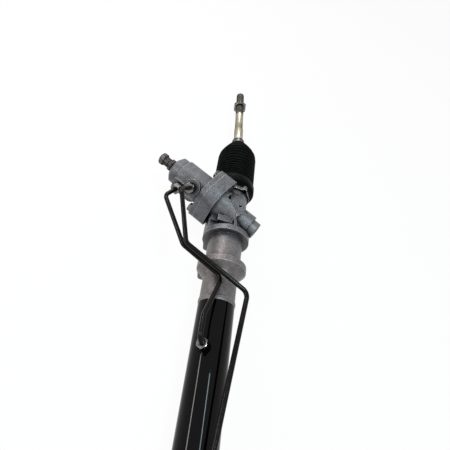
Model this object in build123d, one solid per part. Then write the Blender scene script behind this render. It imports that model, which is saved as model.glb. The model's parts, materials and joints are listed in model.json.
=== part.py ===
from build123d import *
import os
from math import acos, atan, cos, degrees, pi, radians, sin, sqrt, tan

# Hydraulic rack-and-pinion steering gear, in millimetres and degrees.
# X runs along the rack, away from the pinion-side tie rod. Z points from the rack to the pinion.
# The origin is the centre of the clamp seat beside the pinion.
# "Stations" along the pinion are counted from the point where its axis crosses over the rack,
# towards the splined input shaft. Turns about the pinion axis start at the boot side.

# ---------------------------------------------------------------- driving dimensions
# Fits
running_gap = 0.05        # radial gap of a running fit
seal_gap = 0.03           # radial gap of a seal lip or ring
seat_gap = 0.05           # radial gap of a static spigot, plug or screw

# Rack and travel
travel = 72.0             # rack movement to each side
stop_gap = 1.0            # left between lock washer and housing at full lock
rack_d = 25.0
rack_tip_height = 9.1     # tooth tips above the rack's centre line
rack_spaces = 30

# Gear mesh: straight-cut rack, helical pinion
module_n = 2.0
pinion_teeth = 7
pressure_angle = 20.0
crossing_angle = 29.1     # between the pinion and a line square to the rack
profile_shift = 0.9
tip_relief = 0.11
root_depth = 2.5          # below the reference line, both members
backlash = 0.12
pinion_face = 34.0
pinion_x = -65.7

# Clamp seat and the two flanges beside it
seat_d = 50.5
seat_w = 43.0
flange_d = 69.0
flange_t = 8.0
foot_reach = 33.0         # squared side of each flange
foot_drop = 31.0
foot_corner = 7.0
foot_turn = 13.0

# Housing along the rack
housing_left = 118.0      # boot end, from the origin
spigot_len = 11.0
boot_relief_gap = 3.0     # turned clear of the boot's lip and its clamp
barrel_d = 51.0
rack_bore_d = 27.2
neck_d = 47.2
neck_bead_d = 49.2
neck_bead_len = 7.0
neck_flare_d = 62.0       # cone between the far flange and the neck
neck_flare_len = 15.0
tube_start = 81.0
tube_socket = 16.0        # how far the casting reaches into the tube

# Cylinder
tube_d = 48.0
tube_wall = 3.0
tube_end = 362.0
near_port_x = 141.0
far_port_x = 315.0
near_port_turn = 28.4     # from straight up, towards the valve side
far_port_turn = -4.0
port_hole_d = 6.0
port_boss_d = 15.0
port_boss_rise = 6.0      # above the tube's skin
piston_x = 225.0
piston_w = 14.0
piston_gap = 0.15
ring_w = 3.0
ring_depth = 2.4
snap_w = 1.2
snap_depth = 1.1
snap_stand = 2.4
seal_retainer_w = 6.0
seal_w = 7.0
bushing_w = 24.0
stopper_w = 10.0
wire_d = 1.6

# Pinion housing across the rack
gear_bore_gap = 0.5
pinion_barrel_d = 48.0
pinion_barrel_low = -13.0
barrel_cut_from = 17.0                  # the far side of the barrel is cut away below this station
barrel_cut_at = (-69.6, -12.3)          # a point of the cut, seen from above
barrel_cut_turn = 36.5
ridge_middle = (-60.5, -1.5)            # low ridge along the cut
ridge_size = (30.0, 2.4, 18.0)
ridge_turn = 31.0
ridge_top = 36.0
rib_span = (-58.0, -29.0)               # rib along the rack towards the near flange
rib_y = 4.0
rib_w = 3.4
rib_top = 30.5
side_block = ((-62.0, -28.0), (-32.0, -12.0), (-20.0, 12.0))
side_pad = ((-57.0, -43.0), (-30.5, -19.0), (0.0, 16.5))
top_pad = ((-48.0, -38.0), (-22.0, -1.0), (18.0, 27.0))
fairing_outline = ((-105.0, -8.0), (-80.0, -9.0), (-63.0, -1.0), (-51.0, 6.5), (-54.0, 12.0), (-64.0, 14.5),
                   (-90.0, 14.5), (-105.0, 11.0))
fairing_rise = ((-105.0, 0.0), (-105.0, 23.0), (-80.0, 34.0), (-50.0, 34.5), (-50.0, 0.0))
lightening_hole_at = (-67.8, 7.4)
lightening_hole_d = 5.0
lightening_hole_floor = 29.5
boss_slot_at = (-60.5, 17.5)
boss_slot_size = (7.0, 3.0)
boss_slot_floor = 24.0
lower_boss_d = 35.2
lower_boss_end = -34.0
lower_bearing = (12.0, 28.0, 8.0)       # bore, outside, width
lower_bearing_start = -27.0
upper_bearing = (17.0, 35.0, 10.0)
upper_bearing_start = 22.0
shield_recess = 0.5
upper_seal_w = 6.0
end_plug_d = 26.8
end_plug_len = 12.0
end_plug_socket = 12.0

# Joint between the two castings
joint_station = 44.5
housing_flange_t = 20.5
valve_flange_t = 8.0
flange_core_r = 28.0
flange_ear_r = 9.5
bolt_circle_r = 32.5
flange_bolts = 2
bolt_turn = 37.0
bolt_d = 8.0
bolt_len = 28.0
bolt_clear_d = 9.0
bolt_head_af = 12.0
bolt_head_h = 5.5
bolt_washer_d = 15.0
bolt_washer_t = 1.2
joint_spigot_d = 40.0
joint_spigot_len = 4.3
o_ring_d = 1.8

# Valve housing
valve_body_d = 48.0
valve_bore_d = 36.0
collar_start = 99.0
collar_d = 43.6
collar_len = 11.0
collar_round = 5.0
collar_mouth_d = 32.0
input_bore_d = 28.0
transfer_stations = (83.0, 66.0)        # short pipe, long pipe
transfer_turns = (168.0, 146.0)
transfer_boss_tops = (31.0, 29.0)       # from the pinion axis
transfer_pad = (75.0, 96.0)             # slab under the short pipe: its span along the pinion axis
transfer_pad_w = 20.0
transfer_pad_corner = 3.0
transfer_boss_d = 26.0                  # disc under the long pipe
transfer_thread_d = 10.0
supply_stations = (74.0, 90.0)          # pressure, return
supply_turns = (-96.0, -62.0)
supply_top = 30.0
supply_boss_d = 22.0
supply_thread_ds = (14.0, 16.0)
supply_depth = 11.0

# Rotary valve and input shaft
sleeve_start = 46.0
sleeve_end = 98.0
sleeve_skirt = 7.5
sleeve_lands = 4
sleeve_ring_w = 2.0
sleeve_ring_depth = 1.7
sleeve_groove_w = 5.0
sleeve_groove_depth = 1.5
sleeve_hole_d = 3.0
valve_core_d = 20.0
valve_slot = (2.4, 2.5, 30.0)           # depth across the core's skin, width, length
valve_slots = 8
head_d = 26.0
head_start = 42.0
head_len = 11.0
dog_d = 14.0
dog_len = 11.0
dog_flats = 9.0
dog_slot = 9.84           # lets the shaft twist 4.5 degrees in the pinion each way
torsion_bar_d = 5.0
torsion_waist_d = 4.6
torsion_bar_low = -5.0
torsion_bar_high = 138.0
torsion_bore_gap = 0.4
cross_pin_d = 3.0
cross_pin_station = 123.0
sleeve_pin_station = 49.5
needle_bearing_w = 8.0
input_seal_w = 4.5
input_snap_w = 1.0
input_shaft_d = 18.8
waist_d = 14.8
waist_start = 127.0
serration_start = 134.5
serration_d = 18.4
input_end = 143.5
dust_lip_d = 21.0
dust_lip_len = 3.5
dust_skirt_d = 27.0

# Rack guide under the pinion
guide_d = 31.0
guide_len = 25.0
guide_top = -5.5
guide_liner_t = 0.9
guide_pocket_d = 18.0
guide_pocket_depth = 12.0
guide_boss_d = 44.0
guide_boss_end = -47.0
guide_plug_d = 34.0
guide_plug_len = 21.0
guide_spring_t = 1.1
guide_spring_rise = 0.7
guide_nut_af = 46.0
guide_nut_t = 7.0
guide_hex_af = 14.0

# Ball joints and tie rods, measured outwards from the ball's centre
ball_d = 25.0
ball_liner_t = 1.0
ball_gap = 0.1
socket_d = 37.0
socket_back = 19.5
socket_front = 9.0
socket_mouth_angle = 60.0
liner_mouth_angle = 57.0
stud_d = 14.0
stud_len = 22.0
washer_d = 29.0
washer_t = 1.5
tie_neck_d = 12.0
tie_shank_d = 17.0
tie_shank_end = 81.0
tie_mid_d = 15.6
tie_thread_d = 16.0
tie_thread_mesh_d = 14.7  # pitch diameter, where rod and lock nut are engaged
tie_thread_start = 132.0
tie_length = 204.0
tie_lean = 3.5            # of the pinion-side rod at rest, towards the valve and down
tie_lean_turn = 13.0
jam_nut_af = 24.0
jam_nut_t = 8.0
jam_nut_at = 157.0

# Boots, measured outwards from the housing's end face
boot_wall = 2.0
boot_lip_t = 3.5
boot_cuff_rise = 8.0      # of the cuff over the lip
boot_cuff_end = 16.0
boot_crest_d = 68.0
boot_fold_depth = 5.2
boot_first_pitch = 3.8
boot_pitch = 7.2
boot_pitch_growth = 0.42
boot_body_folds = 12
boot_taper_curve = 1.25   # how late the nose draws in
boot_nose_end = 125.0
boot_nose_crest_d = 30.0
boot_neck_d = 21.0
boot_neck_len = 13.0
clamp_seat_depth = 0.8    # recess of the boot under its clamp
clamp_start = 1.5         # inwards from the mouth
clamp_w = 8.0
clamp_t = 1.2
clamp_ear = (6.0, 7.0, 6.0)
clamp_turn = -35.0
clip_w = 6.0
clip_d = 24.0

# Transfer pipes
pipe_d = 6.35
pipe_nut_gap = 0.15
pipe_bend_r = 12.0
pipe_last_bend_r = 8.5
valve_nut_af = 14.0
tube_nut_af = 12.0
valve_nut_len = 11.0
tube_nut_len = 8.5
union_thread_len = 5.0
pipe_insert = 3.0
pipe_rises = (23.5, 26.0)               # last bends, above the tube's skin
pipe_leave = (64.0, 64.5)               # first bends, from the pinion axis
short_pipe_route = ((21.4, -62.4, 29.5), (53.5, -4.0, 28.0), (111.1, -21.8, 39.0))
long_pipe_route = ((23.6, -59.9, 39.5), (70.2, 29.0, 37.0), (255.0, 6.9, 34.0))

# ---------------------------------------------------------------- derived sizes
rack_r = rack_d / 2
spigot_d = tube_d         # the same boot fits the housing's end and the tube's
boot_lip_d = spigot_d + 2 * boot_lip_t
boot_cuff_d = boot_lip_d + 2 * boot_cuff_rise
boot_relief_d = boot_lip_d + 2 * boot_relief_gap
port_boss_top = tube_d / 2 + port_boss_rise
tube_bore_r = tube_d / 2 - tube_wall
tooth_pitch = pi * module_n
helix = radians(crossing_angle)
pitch_r = module_n * pinion_teeth / (2 * cos(helix))
reference_r = pitch_r + profile_shift
pinion_tip_r = reference_r + module_n - tip_relief
pinion_root_r = reference_r - root_depth
pinion_z = rack_tip_height - module_n + reference_r
side_angle = atan(tan(radians(pressure_angle)) / cos(helix))
base_r = pitch_r * cos(side_angle)
half_seat = seat_w / 2
pinion_axis = Plane(origin=(pinion_x, 0, pinion_z), x_dir=(-cos(helix), sin(helix), 0),
                    z_dir=(-sin(helix), -cos(helix), 0))
on_pinion = Location(pinion_axis)
washer_face = housing_left + travel + stop_gap
rack_end = washer_face - washer_t
ball_x = washer_face + socket_back + washer_t
gear_middle = (tube_end - housing_left) / 2
socket_bore_r = ball_d / 2 + ball_liner_t + 2 * ball_gap
joint_low = joint_station - housing_flange_t
guide_floor = guide_top - guide_len
port_seat_r = port_boss_top - union_thread_len


# ---------------------------------------------------------------- small builders
def turned(*points):
    """A solid of revolution about Z from its (radius, height) outline."""
    corners = [(radius, 0, height) for radius, height in points]
    return revolve(make_face(Polyline(*corners, close=True)), Axis.Z)


def ring(inner_d, outer_d, low, high):
    """A plain ring about Z."""
    return turned((inner_d / 2, low), (outer_d / 2, low), (outer_d / 2, high), (inner_d / 2, high))


def rod(diameter, low, high):
    """A plain cylinder about Z between two heights."""
    return Pos(0, 0, low) * Cylinder(diameter / 2, high - low, align=(Align.CENTER, Align.CENTER, Align.MIN))


def along_rack(shape):
    """Turn a shape made about Z so that its heights run along the rack."""
    return Location(Plane.YZ) * shape


def across_pinion(station, turn):
    """A place on the pinion axis whose Z points outwards at the given turn."""
    outward = (cos(radians(turn)), -sin(radians(turn)), 0)
    return on_pinion * Location(Plane(origin=(0, 0, station), x_dir=(0, 0, 1), z_dir=outward))


def on_tube(x, turn):
    """A place on the tube's axis whose Z points outwards, turned from upright to the valve side."""
    outward = (0, -sin(radians(turn)), cos(radians(turn)))
    return Location(Plane(origin=(x, 0, 0), x_dir=(1, 0, 0), z_dir=outward))


def hexagon(across_flats, low, high):
    """A hexagonal prism about Z."""
    prism = extrude(RegularPolygon(across_flats / 2, 6, major_radius=False), high - low)
    return Pos(0, 0, low) * prism


def hex_nut(across_flats, bore_d, low, high, bevel=0.6):
    """A hexagon nut about Z with both faces chamfered to a circle."""
    corner_r = across_flats / sqrt(3)
    bevelled = turned((0, low), (corner_r - 2 * bevel, low), (corner_r, low + bevel),
                      (corner_r, high - bevel), (corner_r - 2 * bevel, high), (0, high))
    return (hexagon(across_flats, low, high) & bevelled) - rod(bore_d, low - 1, high + 1)


def group(shapes):
    """Several loose pieces that belong to one sub-part."""
    return Compound(list(shapes))


def save(name, shape):
    """Write one sub-part under its own name."""
    export_step(shape, f"parts/{name}.step")


# ---------------------------------------------------------------- rack and pinion
def rack_bar():
    left, right = -rack_end, 2 * gear_middle + rack_end
    bar = rod(rack_d, left, right)
    for low in (piston_x - piston_w / 2 - snap_w, piston_x + piston_w / 2):
        bar -= ring(rack_d - 2 * snap_depth, rack_d + 2, low, low + snap_w)
    bar -= rod(stud_d + 2 * seat_gap, left, left + stud_len + 1)
    bar -= rod(stud_d + 2 * seat_gap, right - stud_len - 1, right)
    bar = along_rack(bar)
    toothed = rack_spaces * tooth_pitch
    flat = Box(toothed + tooth_pitch / 2, rack_d + 2, rack_r, align=(Align.CENTER, Align.CENTER, Align.MIN))
    bar -= Pos(pinion_x, 0, rack_tip_height) * flat
    reference = rack_tip_height - module_n
    slope = tan(radians(pressure_angle))
    half_gap = tooth_pitch / 4 + backlash / 2
    top = module_n + 1
    gap = Polyline((-half_gap - top * slope, top), (half_gap + top * slope, top),
                   (half_gap - root_depth * slope, -root_depth), (-half_gap + root_depth * slope, -root_depth),
                   close=True)
    cutter = extrude(Plane.XZ * make_face(gap), rack_r + 2, both=True)
    for number in range(rack_spaces):
        middle = pinion_x + (number + 0.5 - rack_spaces / 2) * tooth_pitch
        bar -= Pos(middle, 0, reference) * cutter
    return bar


def involute(angle):
    return tan(angle) - angle


def pinion_section():
    """Cross-section of the pinion teeth with one tooth space on the local Y axis."""
    side = tan(side_angle)
    tooth_width = pi * pitch_r / pinion_teeth + 2 * profile_shift * side

    def half_angle(radius):
        roll = acos(min(1.0, base_r / radius))
        return tooth_width / (2 * pitch_r) + involute(side_angle) - involute(roll)

    def at(radius, angle):
        return (radius * sin(angle), radius * cos(angle))

    step = 2 * pi / pinion_teeth
    middle_r = (base_r + pinion_tip_r) / 2
    edges = []
    for number in range(pinion_teeth):
        centre = (number + 0.5) * step
        root, base = half_angle(base_r), half_angle(base_r)
        mid, tip = half_angle(middle_r), half_angle(pinion_tip_r)
        edges.append(ThreePointArc(at(pinion_root_r, centre - step + root), at(pinion_root_r, centre - step / 2),
                                   at(pinion_root_r, centre - root)))
        edges.append(Line(at(pinion_root_r, centre - root), at(base_r, centre - base)))
        edges.append(ThreePointArc(at(base_r, centre - base), at(middle_r, centre - mid),
                                   at(pinion_tip_r, centre - tip)))
        edges.append(ThreePointArc(at(pinion_tip_r, centre - tip), at(pinion_tip_r, centre),
                                   at(pinion_tip_r, centre + tip)))
        edges.append(ThreePointArc(at(pinion_tip_r, centre + tip), at(middle_r, centre + mid),
                                   at(base_r, centre + base)))
        edges.append(Line(at(base_r, centre + base), at(pinion_root_r, centre + root)))
    return make_face(edges)


def pinion_shaft():
    twist_rate = tan(helix) / pitch_r
    low = -pinion_face / 2
    section = Pos(0, 0, low) * Rot(0, 0, degrees(twist_rate * low)) * pinion_section()
    teeth = Solid.extrude_linear_with_rotation(section.face(), (0, 0, low), (0, 0, pinion_face),
                                               degrees(twist_rate * pinion_face))
    journal_low = lower_bearing_start - 0.5
    head_end = head_start + head_len
    shaft = rod(lower_bearing[0] - 2 * running_gap, journal_low, low + 1)
    shaft += rod(upper_bearing[0] - 2 * running_gap, pinion_face / 2 - 1, head_start)
    shaft += rod(head_d, head_start, head_end)
    shaft += teeth
    socket = rod(dog_d + 2 * running_gap, head_end - dog_len, head_end + 1)
    shaft -= socket & Pos(0, 0, head_end) * Box(head_d, dog_slot, 3 * dog_len)
    shaft -= rod(torsion_bar_d, torsion_bar_low, head_end)
    pin_hole = rod(cross_pin_d, head_d / 4, head_d)
    shaft -= Location(Plane(origin=(0, 0, sleeve_pin_station), z_dir=(1, 0, 0))) * pin_hole
    return on_pinion * shaft


# ---------------------------------------------------------------- rotary valve
def sleeve_ring_lows():
    first = sleeve_start + sleeve_skirt + 1.5
    span = sleeve_end - 3.5 - first
    return [first + span * number / (sleeve_lands - 1) for number in range(sleeve_lands)]


def valve_sleeve():
    outer = valve_bore_d - 0.4
    sleeve = ring(valve_core_d + 2 * running_gap, outer, sleeve_start, sleeve_end)
    sleeve -= rod(head_d, sleeve_start - 1, sleeve_start + sleeve_skirt)
    lows = sleeve_ring_lows()
    for low in lows:
        sleeve -= ring(outer - 2 * sleeve_ring_depth, outer + 2, low, low + sleeve_ring_w)
    for low, following in zip(lows, lows[1:]):
        middle = (low + following + sleeve_ring_w) / 2
        sleeve -= ring(outer - 2 * sleeve_groove_depth, outer + 2, middle - sleeve_groove_w / 2,
                       middle + sleeve_groove_w / 2)
        sleeve -= Pos(outer / 4, 0, middle) * Rot(0, 90, 0) * Cylinder(sleeve_hole_d / 2, outer / 2)
    pin_hole = rod(cross_pin_d, head_d / 4, outer)
    sleeve -= Location(Plane(origin=(0, 0, sleeve_pin_station), z_dir=(1, 0, 0))) * pin_hole
    return on_pinion * sleeve


def sleeve_seal_rings():
    outer = valve_bore_d - 0.4
    rings = [ring(outer - 2 * sleeve_ring_depth, valve_bore_d - 2 * seal_gap, low, low + sleeve_ring_w)
             for low in sleeve_ring_lows()]
    return on_pinion * group(rings)


def sleeve_pin():
    pin = rod(cross_pin_d, head_d / 4 + 0.5, (valve_bore_d - 0.4) / 2 - 0.3)
    return on_pinion * Location(Plane(origin=(0, 0, sleeve_pin_station), z_dir=(1, 0, 0))) * pin


def torsion_bar():
    bar = rod(torsion_bar_d, torsion_bar_low, torsion_bar_high)
    bar -= ring(torsion_waist_d, torsion_bar_d + 1, sleeve_start + 10, cross_pin_station - 8)
    bar -= Pos(0, 0, cross_pin_station) * Rot(0, 90, 0) * Cylinder(cross_pin_d / 2 + 0.3, torsion_bar_d + 2)
    return on_pinion * bar


def input_shaft():
    tip = head_start + head_len - dog_len + 0.5
    core_low = head_start + head_len + 0.5
    core_end = collar_start + collar_len + collar_round - 1.5
    fall = (input_shaft_d - waist_d) / 2
    rise = (serration_d - waist_d) / 2
    shaft = turned((0, tip), (dog_d / 2, tip), (dog_d / 2, core_low), (valve_core_d / 2, core_low),
                   (valve_core_d / 2, core_end), (input_shaft_d / 2, core_end),
                   (input_shaft_d / 2, waist_start - fall), (waist_d / 2, waist_start),
                   (waist_d / 2, serration_start), (serration_d / 2, serration_start + rise),
                   (serration_d / 2, input_end - 1), (serration_d / 2 - 1, input_end), (0, input_end))
    for side in (-1, 1):
        flat = Pos(0, side * (dog_flats + dog_d) / 2, tip) * Box(dog_d, dog_d, 2 * (core_low - tip))
        shaft -= flat
    shaft -= rod(torsion_bar_d + 2 * torsion_bore_gap, tip - 1, torsion_bar_high + 0.5)
    shaft -= Pos(0, 0, cross_pin_station) * Rot(0, 90, 0) * Cylinder(cross_pin_d / 2, input_shaft_d + 2)
    for number in range(valve_slots):
        slot = Pos(valve_core_d / 2, 0, (core_low + sleeve_end) / 2) * Box(*valve_slot)
        shaft -= Rot(0, 0, 360 / valve_slots * number) * slot
    return on_pinion * shaft


def cross_pin():
    pin = Rot(0, 90, 0) * Cylinder(cross_pin_d / 2, input_shaft_d - 0.4)
    return on_pinion * Pos(0, 0, cross_pin_station) * pin


def input_dust_cover():
    low = collar_start + collar_len + collar_round + 0.3
    bore = input_shaft_d / 2
    cover = turned((bore, low), (dust_skirt_d / 2, low), (dust_skirt_d / 2, low + 0.8), (dust_lip_d / 2, low + 1),
                   (dust_lip_d / 2, low + dust_lip_len), (bore, low + dust_lip_len))
    return on_pinion * cover


# ---------------------------------------------------------------- housings
def joint_outline():
    """The two-eared outline shared by both castings at their joint."""
    outline = Sketch() + Circle(flange_core_r)
    ears = [Rot(0, 0, -turn) * Pos(bolt_circle_r, 0) * Circle(flange_ear_r) for turn in bolt_turns()]
    return make_hull((outline + ears).edges())


def bolt_turns():
    return [bolt_turn + 360 / flange_bolts * number for number in range(flange_bolts)]


def at_bolts(shape):
    """A shape made about Z, repeated on the flange bolts of the pinion axis."""
    return [on_pinion * Rot(0, 0, -turn) * Pos(bolt_circle_r, 0, 0) * shape for turn in bolt_turns()]


def seat_flange():
    """One of the discs beside the clamp seat, with its squared side."""
    foot = Pos(-foot_reach / 2, -foot_drop / 2) * Rectangle(foot_reach, foot_drop)
    foot = fillet(foot.vertices().sort_by(Axis.X)[:2].sort_by(Axis.Y)[:1], foot_corner)
    upper = Pos(-foot_reach / 2, foot_drop / 4) * Rectangle(foot_reach, foot_drop / 2)
    upper = (Circle(flange_d / 2) & upper)
    outline = Circle(flange_d / 2) + foot + upper
    return extrude(Rot(0, 0, foot_turn) * outline, flange_t)


def block(spans):
    """A box from its three (low, high) pairs."""
    sizes = [high - low for low, high in spans]
    middle = [(low + high) / 2 for low, high in spans]
    return Pos(*middle) * Box(*sizes)


def pinion_barrel():
    """The large barrel, whole near the joint and cut away towards the boot below that."""
    barrel = on_pinion * rod(pinion_barrel_d, pinion_barrel_low, barrel_cut_from)
    reach = 4 * pinion_barrel_d
    far_side = Pos(*barrel_cut_at, 0) * Rot(0, 0, barrel_cut_turn) * Pos(0, reach / 2, 0) * Box(reach, reach, reach)
    return barrel - far_side + on_pinion * rod(pinion_barrel_d, barrel_cut_from, joint_station)


def housing_webs():
    """Ribs, pads and blocks cast between the barrel and the near flange."""
    webs = Pos(*ridge_middle, ridge_top - ridge_size[2] / 2) * Rot(0, 0, ridge_turn) * Box(*ridge_size)
    webs += block((rib_span, (rib_y - rib_w / 2, rib_y + rib_w / 2), (0, rib_top)))
    for spans in (side_block, side_pad, top_pad):
        webs += block(spans)
    from_above = extrude(make_face(Polyline(*fairing_outline, close=True)), 2 * seat_d)
    from_side = extrude(Plane.XZ * make_face(Polyline(*fairing_rise, close=True)), seat_d, both=True)
    return webs + (from_above & from_side)


def casting_marks():
    """A blind hole and a slot in the top of the casting, beside the lower bearing."""
    hole = Pos(*lightening_hole_at, lightening_hole_floor) * rod(lightening_hole_d, 0, seat_d)
    slot = extrude(Rot(0, 0, 90 - crossing_angle) * SlotOverall(*boss_slot_size), seat_d)
    slot = Pos(*boss_slot_at, boss_slot_floor) * slot
    return hole + slot


def pinion_housing():
    bore_r = pinion_tip_r + gear_bore_gap
    tube_r = tube_bore_r - seat_gap
    body = rod(spigot_d, -housing_left, -housing_left + spigot_len)
    body += rod(barrel_d, -housing_left + spigot_len, -half_seat)
    body += rod(seat_d, -half_seat, half_seat)
    body += Pos(0, 0, -half_seat - flange_t) * seat_flange()
    body += Pos(0, 0, half_seat) * seat_flange()
    bead = tube_start - neck_bead_len
    body += turned((0, half_seat), (neck_d / 2, half_seat), (neck_d / 2, bead), (neck_bead_d / 2, bead + 1.5),
                   (neck_bead_d / 2, tube_start - 2), (tube_d / 2, tube_start), (tube_r, tube_start),
                   (tube_r, tube_start + tube_socket), (0, tube_start + tube_socket))
    flare_low = half_seat + flange_t
    body += turned((0, flare_low - 1), (neck_flare_d / 2, flare_low - 1), (neck_flare_d / 2, flare_low),
                   (neck_d / 2, flare_low + neck_flare_len), (0, flare_low + neck_flare_len))
    body = along_rack(body)
    body += pinion_barrel()
    body += on_pinion * rod(lower_boss_d, lower_boss_end, joint_low)
    body += on_pinion * Pos(0, 0, joint_low) * extrude(joint_outline(), housing_flange_t)
    body += Pos(pinion_x, 0, 0) * rod(guide_boss_d, guide_boss_end, 0)
    body += housing_webs()
    body -= casting_marks()
    body -= along_rack(rod(rack_bore_d, -housing_left - 1, tube_start + tube_socket + 1))
    body -= on_pinion * rod(2 * bore_r, lower_bearing_start, upper_bearing_start)
    body -= on_pinion * rod(lower_bearing[1] + 2 * seat_gap, lower_boss_end - 1, lower_bearing_start + lower_bearing[2])
    body -= on_pinion * rod(upper_bearing[1] + 2 * seat_gap, upper_bearing_start - 0.5, joint_station + 1)
    body -= on_pinion * rod(joint_spigot_d, joint_station - joint_spigot_len - 0.3, joint_station + 1)
    body -= at_bolts(rod(bolt_d, joint_station + valve_flange_t - bolt_len - 1, joint_station + 1))
    body -= Pos(pinion_x, 0, 0) * rod(guide_d, guide_boss_end - 1, guide_top)
    body -= Pos(pinion_x, 0, 0) * rod(guide_plug_d, guide_boss_end - 1, guide_floor - 3)
    return body - boot_relief()


def boot_relief():
    """The ring cut out of both castings so that the boot can be pushed on."""
    return along_rack(ring(spigot_d, boot_relief_d, -housing_left - 2, -housing_left + spigot_len))


def valve_housing():
    collar_end = collar_start + collar_len
    mouth = collar_end + collar_round
    body = turned((0, joint_station), (valve_body_d / 2, joint_station), (valve_body_d / 2, collar_start - 1),
                  (collar_d / 2, collar_start), (collar_d / 2, collar_end), (collar_mouth_d / 2, mouth), (0, mouth))
    body += rod(joint_spigot_d - 2 * seat_gap, joint_station - joint_spigot_len, joint_station)
    body += Pos(0, 0, joint_station) * extrude(joint_outline(), valve_flange_t)
    body = on_pinion * body
    places = [across_pinion(station, turn) for station, turn in zip(transfer_stations, transfer_turns)]
    pad = RectangleRounded(transfer_pad[1] - transfer_pad[0], transfer_pad_w, transfer_pad_corner)
    body += across_pinion(sum(transfer_pad) / 2, transfer_turns[0]) * extrude(pad, transfer_boss_tops[0])
    body += places[1] * rod(transfer_boss_d, 0, transfer_boss_tops[1])
    for station, turn in zip(supply_stations, supply_turns):
        body += across_pinion(station, turn) * rod(supply_boss_d, 0, supply_top)
    body -= on_pinion * rod(valve_bore_d, joint_station - joint_spigot_len - 1, collar_start + 1)
    body -= on_pinion * rod(input_bore_d, collar_start, mouth + 1)
    body -= joint_o_ring(0.2)
    body -= at_bolts(rod(bolt_clear_d, joint_station - 1, joint_station + valve_flange_t + 1))
    for place, top in zip(places, transfer_boss_tops):
        body -= place * rod(transfer_thread_d, top - union_thread_len - 1, top + 1)
        body -= place * rod(port_hole_d, valve_bore_d / 4, top)
    for station, turn, diameter in zip(supply_stations, supply_turns, supply_thread_ds):
        place = across_pinion(station, turn)
        body -= place * rod(diameter, supply_top - supply_depth, supply_top + 1)
        body -= place * rod(port_hole_d, valve_bore_d / 4, supply_top)
    return body - boot_relief()


def valve_housing_bolts():
    seat = joint_station + valve_flange_t
    bolt = rod(bolt_d - 2 * seat_gap, seat - bolt_len, seat + 1)
    bolt += rod(bolt_washer_d, seat, seat + bolt_washer_t)
    head_low = seat + bolt_washer_t
    bolt += hex_nut(bolt_head_af, 0.5, head_low, head_low + bolt_head_h) + rod(1, head_low, head_low + bolt_head_h)
    return group(at_bolts(bolt))


def joint_o_ring(room=0.0):
    """The O-ring round the spigot of the joint, or its groove with some room to spare."""
    low = joint_station - joint_spigot_len / 2 - o_ring_d / 2
    return on_pinion * ring(joint_spigot_d - 2 * o_ring_d, joint_spigot_d + room, low, low + o_ring_d + room)


def sealed_bearing(sizes, low):
    """Inner ring, outer ring and the sealed middle of a ball bearing about Z."""
    bore, outside, width = sizes
    third = (outside - bore) / 6
    high = low + width
    inner = ring(bore, bore + 2 * third, low, high)
    outer = ring(outside - 2 * third, outside, low, high)
    middle = ring(bore + 2 * third, outside - 2 * third, low + shield_recess, high - shield_recess)
    return group([inner, outer, middle])


def pinion_end_plug():
    plug = rod(lower_bearing[1], lower_boss_end, lower_bearing_start - 1)
    plug += turned((0, lower_boss_end - end_plug_len), (end_plug_d / 2 - 1, lower_boss_end - end_plug_len),
                   (end_plug_d / 2, lower_boss_end - end_plug_len + 1), (end_plug_d / 2, lower_boss_end),
                   (0, lower_boss_end))
    plug -= hexagon(end_plug_socket, lower_boss_end - end_plug_len - 1, lower_boss_end - end_plug_len / 3)
    return on_pinion * plug


def input_seals():
    """Needle bearing, lip seal and snap ring above the valve, in that order."""
    low = collar_start + 1
    seal_low = low + needle_bearing_w + 0.3
    snap_low = seal_low + input_seal_w
    bearing = ring(valve_core_d + 2 * running_gap, input_bore_d, low, low + needle_bearing_w)
    seal = ring(valve_core_d + 2 * seal_gap, input_bore_d, seal_low, seal_low + input_seal_w)
    snap = ring(input_bore_d - 4, input_bore_d, snap_low, snap_low + input_snap_w)
    return on_pinion * bearing, on_pinion * seal, on_pinion * snap


# ---------------------------------------------------------------- rack guide
def rack_guide():
    body = rod(guide_d - 2 * seat_gap, guide_floor, guide_top)
    body -= rod(guide_pocket_d, guide_floor - 1, guide_floor + guide_pocket_depth)
    body = Pos(pinion_x, 0, 0) * body - guide_o_ring(0.2)
    return body - along_rack(rod(rack_d + 2 * guide_liner_t + 2 * running_gap, -housing_left, half_seat))


def rack_guide_liner():
    shell = along_rack(ring(rack_d + 2 * running_gap, rack_d + 2 * guide_liner_t + 2 * running_gap,
                            -housing_left, half_seat))
    return shell & (Pos(pinion_x, 0, 0) * rod(guide_d - 4, guide_floor, guide_top - 1))


def guide_springs():
    inner, outer = guide_pocket_d / 2 + 0.5, guide_d / 2 - 1
    high = guide_floor
    low = high - guide_spring_t - guide_spring_rise
    upper = turned((inner, high - guide_spring_t), (outer, low), (outer, low + guide_spring_t), (inner, high))
    lower = Pos(0, 0, 2 * low) * mirror(upper, Plane.XY)
    return Pos(pinion_x, 0, 0) * group([upper, lower])


def guide_plug():
    high = guide_floor - 2 * (guide_spring_t + guide_spring_rise)
    plug = rod(guide_plug_d - 2 * seat_gap, high - guide_plug_len, high)
    plug -= hexagon(guide_hex_af, high - guide_plug_len - 1, high - guide_plug_len / 2)
    return Pos(pinion_x, 0, 0) * plug


def guide_lock_nut():
    nut = hex_nut(guide_nut_af, guide_plug_d, guide_boss_end - guide_nut_t, guide_boss_end)
    return Pos(pinion_x, 0, 0) * nut


def guide_o_ring(room=0.0):
    """The O-ring round the rack guide, or its groove with some room to spare."""
    low = guide_floor + guide_pocket_depth / 2
    return Pos(pinion_x, 0, 0) * ring(guide_d - 2 * o_ring_d, guide_d + room, low, low + o_ring_d + room)


# ---------------------------------------------------------------- cylinder
def tube_ports():
    return (near_port_x, near_port_turn), (far_port_x, far_port_turn)


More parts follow.
